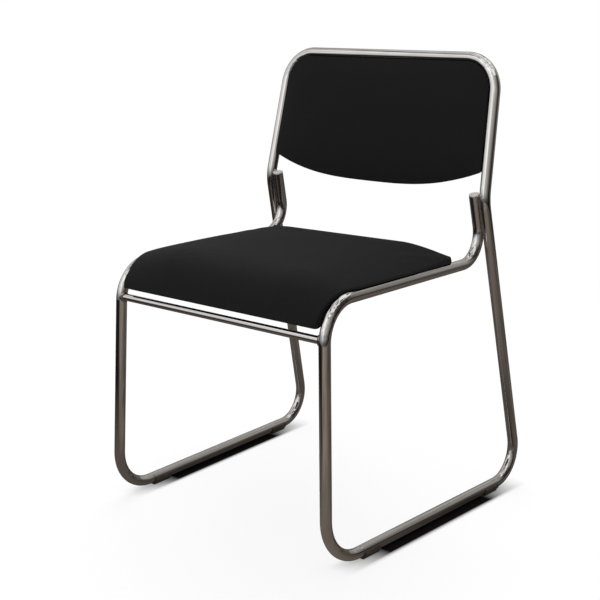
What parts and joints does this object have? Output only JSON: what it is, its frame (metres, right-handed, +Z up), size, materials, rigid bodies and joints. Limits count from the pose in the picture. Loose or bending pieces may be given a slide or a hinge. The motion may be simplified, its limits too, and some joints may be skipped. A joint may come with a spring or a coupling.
{
  "type": "sled base visitor chair",
  "caption": "Stacking visitor chair on a bent steel tube sled frame, with a padded seat that wraps over the front bend and a padded back held inside the top loop.",
  "frame": {"origin": "on the floor, under the middle of the chair's bounding box", "axes": "+X across the width, to the right as seen from in front, +Y from the front to the back, +Z up; a sitter faces -Y"},
  "size_m": [0.536, 0.5458, 0.7843],
  "materials": {
    "chrome_tube": "polished chrome plate",
    "chrome_plate": "polished chrome plate",
    "zinc_steel": "zinc plate",
    "glide_plastic": "smooth dark plastic",
    "plug_plastic": "matt light grey plastic",
    "cover_fabric": "fine matt weave",
    "lining_cloth": "thin black cloth",
    "cushion_foam": "open cell foam",
    "board_plywood": "bare plywood"
  },
  "bodies": {
    "root": {"back_loop_tube": "chrome_tube", "left_seat_tube": "chrome_tube", "right_seat_tube": "chrome_tube", "front_cross_tube": "chrome_tube", "left_joint_ferrule": "zinc_steel", "right_joint_ferrule": "zinc_steel", "left_stub_plug": "plug_plastic", "right_stub_plug": "plug_plastic", "left_front_glide": "glide_plastic", "left_rear_glide": "glide_plastic", "right_front_glide": "glide_plastic", "right_rear_glide": "glide_plastic", "seat_board": "board_plywood", "seat_foam": "cushion_foam", "seat_cover": "cover_fabric", "seat_dust_panel": "lining_cloth", "seat_strap_front": "chrome_plate", "seat_strap_rear": "chrome_plate", "seat_nut_left_front": "zinc_steel", "seat_nut_left_rear": "zinc_steel", "seat_nut_right_front": "zinc_steel", "seat_nut_right_rear": "zinc_steel", "seat_screw_left_front": "zinc_steel", "seat_screw_left_rear": "zinc_steel", "seat_screw_right_front": "zinc_steel", "seat_screw_right_rear": "zinc_steel", "back_board": "board_plywood", "back_foam": "cushion_foam", "back_cover": "cover_fabric", "back_rear_panel": "lining_cloth", "back_tab_left_lower": "chrome_plate", "back_tab_left_upper": "chrome_plate", "back_tab_right_lower": "chrome_plate", "back_tab_right_upper": "chrome_plate", "back_nut_left_lower": "zinc_steel", "back_nut_left_upper": "zinc_steel", "back_nut_right_lower": "zinc_steel", "back_nut_right_upper": "zinc_steel", "back_screw_left_lower": "zinc_steel", "back_screw_left_upper": "zinc_steel", "back_screw_right_lower": "zinc_steel", "back_screw_right_upper": "zinc_steel"}
  },
  "joints": []
}
